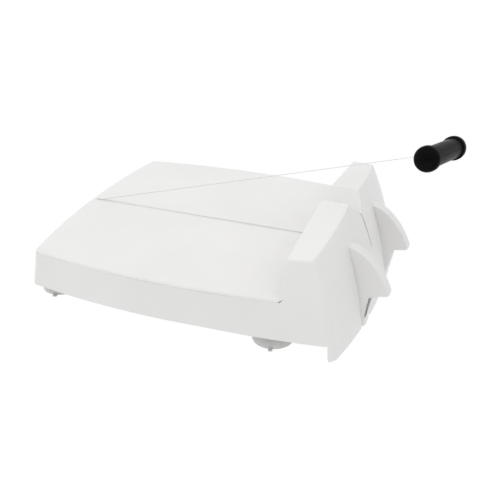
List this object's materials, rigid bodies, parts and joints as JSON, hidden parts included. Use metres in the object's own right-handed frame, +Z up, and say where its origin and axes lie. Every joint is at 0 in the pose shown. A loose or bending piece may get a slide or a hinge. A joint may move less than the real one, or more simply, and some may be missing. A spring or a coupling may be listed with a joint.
{
  "type": "cheese wire cutter",
  "caption": "Cheese wire cutter: a moulded board on suction cups with two towers, a hinged cutting wire that drops between them into a groove, and a T handle.",
  "frame": {"origin": "middle of the overall length and width, on the table under the suction cups", "axes": "+X along the groove from the wire's anchor to the towers, +Y across the board, +Z up"},
  "size_m": [0.5103, 0.3622, 0.2329],
  "materials": {
    "white_plastic": "satin moulded white",
    "clear_vinyl": "clear soft vinyl",
    "black_plastic": "satin-gloss moulded black",
    "stainless_steel": "drawn stainless steel"
  },
  "bodies": {
    "base": {"base_shell": "white_plastic", "suction_cup_front_left": "clear_vinyl", "suction_cup_front_right": "clear_vinyl", "suction_cup_rear_left": "clear_vinyl", "suction_cup_rear_right": "clear_vinyl", "wire_tail": "stainless_steel", "tail_washer": "stainless_steel", "tail_ferrule": "stainless_steel"},
    "wire": {"cutting_wire": "stainless_steel", "end_ferrule": "stainless_steel"},
    "core": {"core_pin": "stainless_steel"},
    "handle": {"handle_upper_shell": "black_plastic", "handle_lower_shell": "black_plastic", "handle_screw_1": "stainless_steel", "handle_screw_2": "stainless_steel"}
  },
  "joints": [
    {"name": "wire_swing", "type": "hinge", "parent": "base", "child": "wire", "pos_m": [-0.2372, 0, 0.0731], "axis": [0, -1, 0], "range_deg": [-16, 74]},
    {"name": "handle_twist", "type": "hinge", "parent": "wire", "child": "core", "pos_m": [0.23122, 0, 0.20742], "axis": [0.9613, 0, 0.2756], "continuous": true},
    {"name": "handle_roll", "type": "hinge", "parent": "core", "child": "handle", "pos_m": [0.23122, 0, 0.20742], "axis": [0.1698, 0.9651, -0.1995], "range_deg": [-25, 25]}
  ]
}
